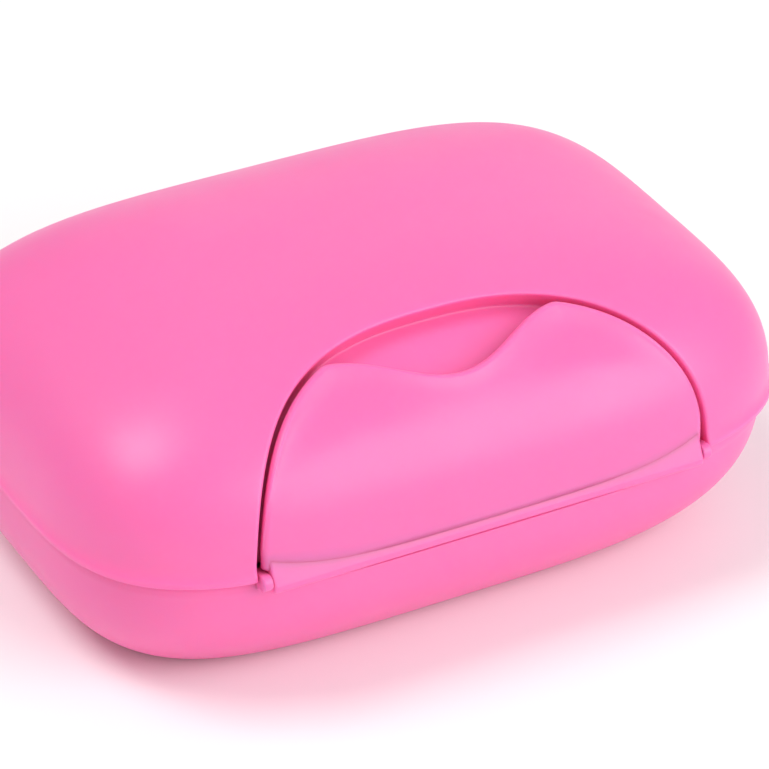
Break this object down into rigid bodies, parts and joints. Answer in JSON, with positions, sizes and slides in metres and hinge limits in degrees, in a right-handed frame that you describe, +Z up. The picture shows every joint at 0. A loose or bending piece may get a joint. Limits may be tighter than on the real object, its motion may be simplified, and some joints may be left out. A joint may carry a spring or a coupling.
{
  "type": "travel soap box",
  "caption": "Pebble-shaped plastic soap box with a lid hinged at the back, an arched latch that swings down from the front rim, a rim seal and a lift-out drain tray.",
  "frame": {"origin": "centre of the flat bottom that the case rests on", "axes": "+X along the case's length, -Y towards the latch at the front, +Z up out of the lid"},
  "size_m": [0.114, 0.0861, 0.046],
  "materials": {
    "case": "satin moulded polypropylene, bright pink",
    "pins": "drawn steel wire",
    "seal": "soft translucent silicone",
    "tray": "plain moulded white"
  },
  "bodies": {
    "base": {"base_shell": "case", "latch_pin": "pins", "hinge_pin_left": "pins", "hinge_pin_right": "pins", "seal_ring": "seal"},
    "lid": {"lid_shell": "case"},
    "latch": {"latch_flap": "case"},
    "tray": {"drain_tray": "tray"}
  },
  "joints": [
    {"name": "lid_hinge", "type": "hinge", "parent": "base", "child": "lid", "pos_m": [0, 0.043, 0.0215], "axis": [-1, 0, 0], "range_deg": [0, 75]},
    {"name": "latch_pivot", "type": "hinge", "parent": "base", "child": "latch", "pos_m": [0, -0.0394, 0.0219], "axis": [1, 0, 0], "range_deg": [0, 150]},
    {"name": "tray_lift", "type": "slide", "parent": "base", "child": "tray", "axis": [0, 0, 1], "range_m": [0, 0.015]}
  ],
  "couplings": [
    {"joint": "latch_pivot", "follows": "lid_hinge", "ratio": 2}
  ]
}
